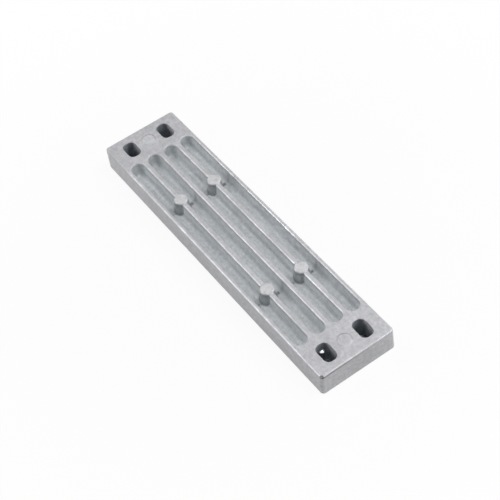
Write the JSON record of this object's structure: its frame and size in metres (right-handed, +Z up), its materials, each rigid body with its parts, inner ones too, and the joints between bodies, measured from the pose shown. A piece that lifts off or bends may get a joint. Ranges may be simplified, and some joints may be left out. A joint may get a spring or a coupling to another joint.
{
  "type": "sacrificial anode",
  "caption": "Bar-shaped sacrificial anode for marine hardware, with long rounded flutes, round pegs standing in the ribs, and slotted bolt holes at both ends.",
  "frame": {"origin": "middle of the flat underside, which is the seating face", "axes": "+X along the bar, +Y across it, +Z up out of the fluted top"},
  "size_m": [0.2276, 0.0514, 0.0165],
  "materials": {
    "anode_alloy": "as cast, matte"
  },
  "bodies": {
    "root": {"anode_casting": "anode_alloy"}
  },
  "joints": []
}
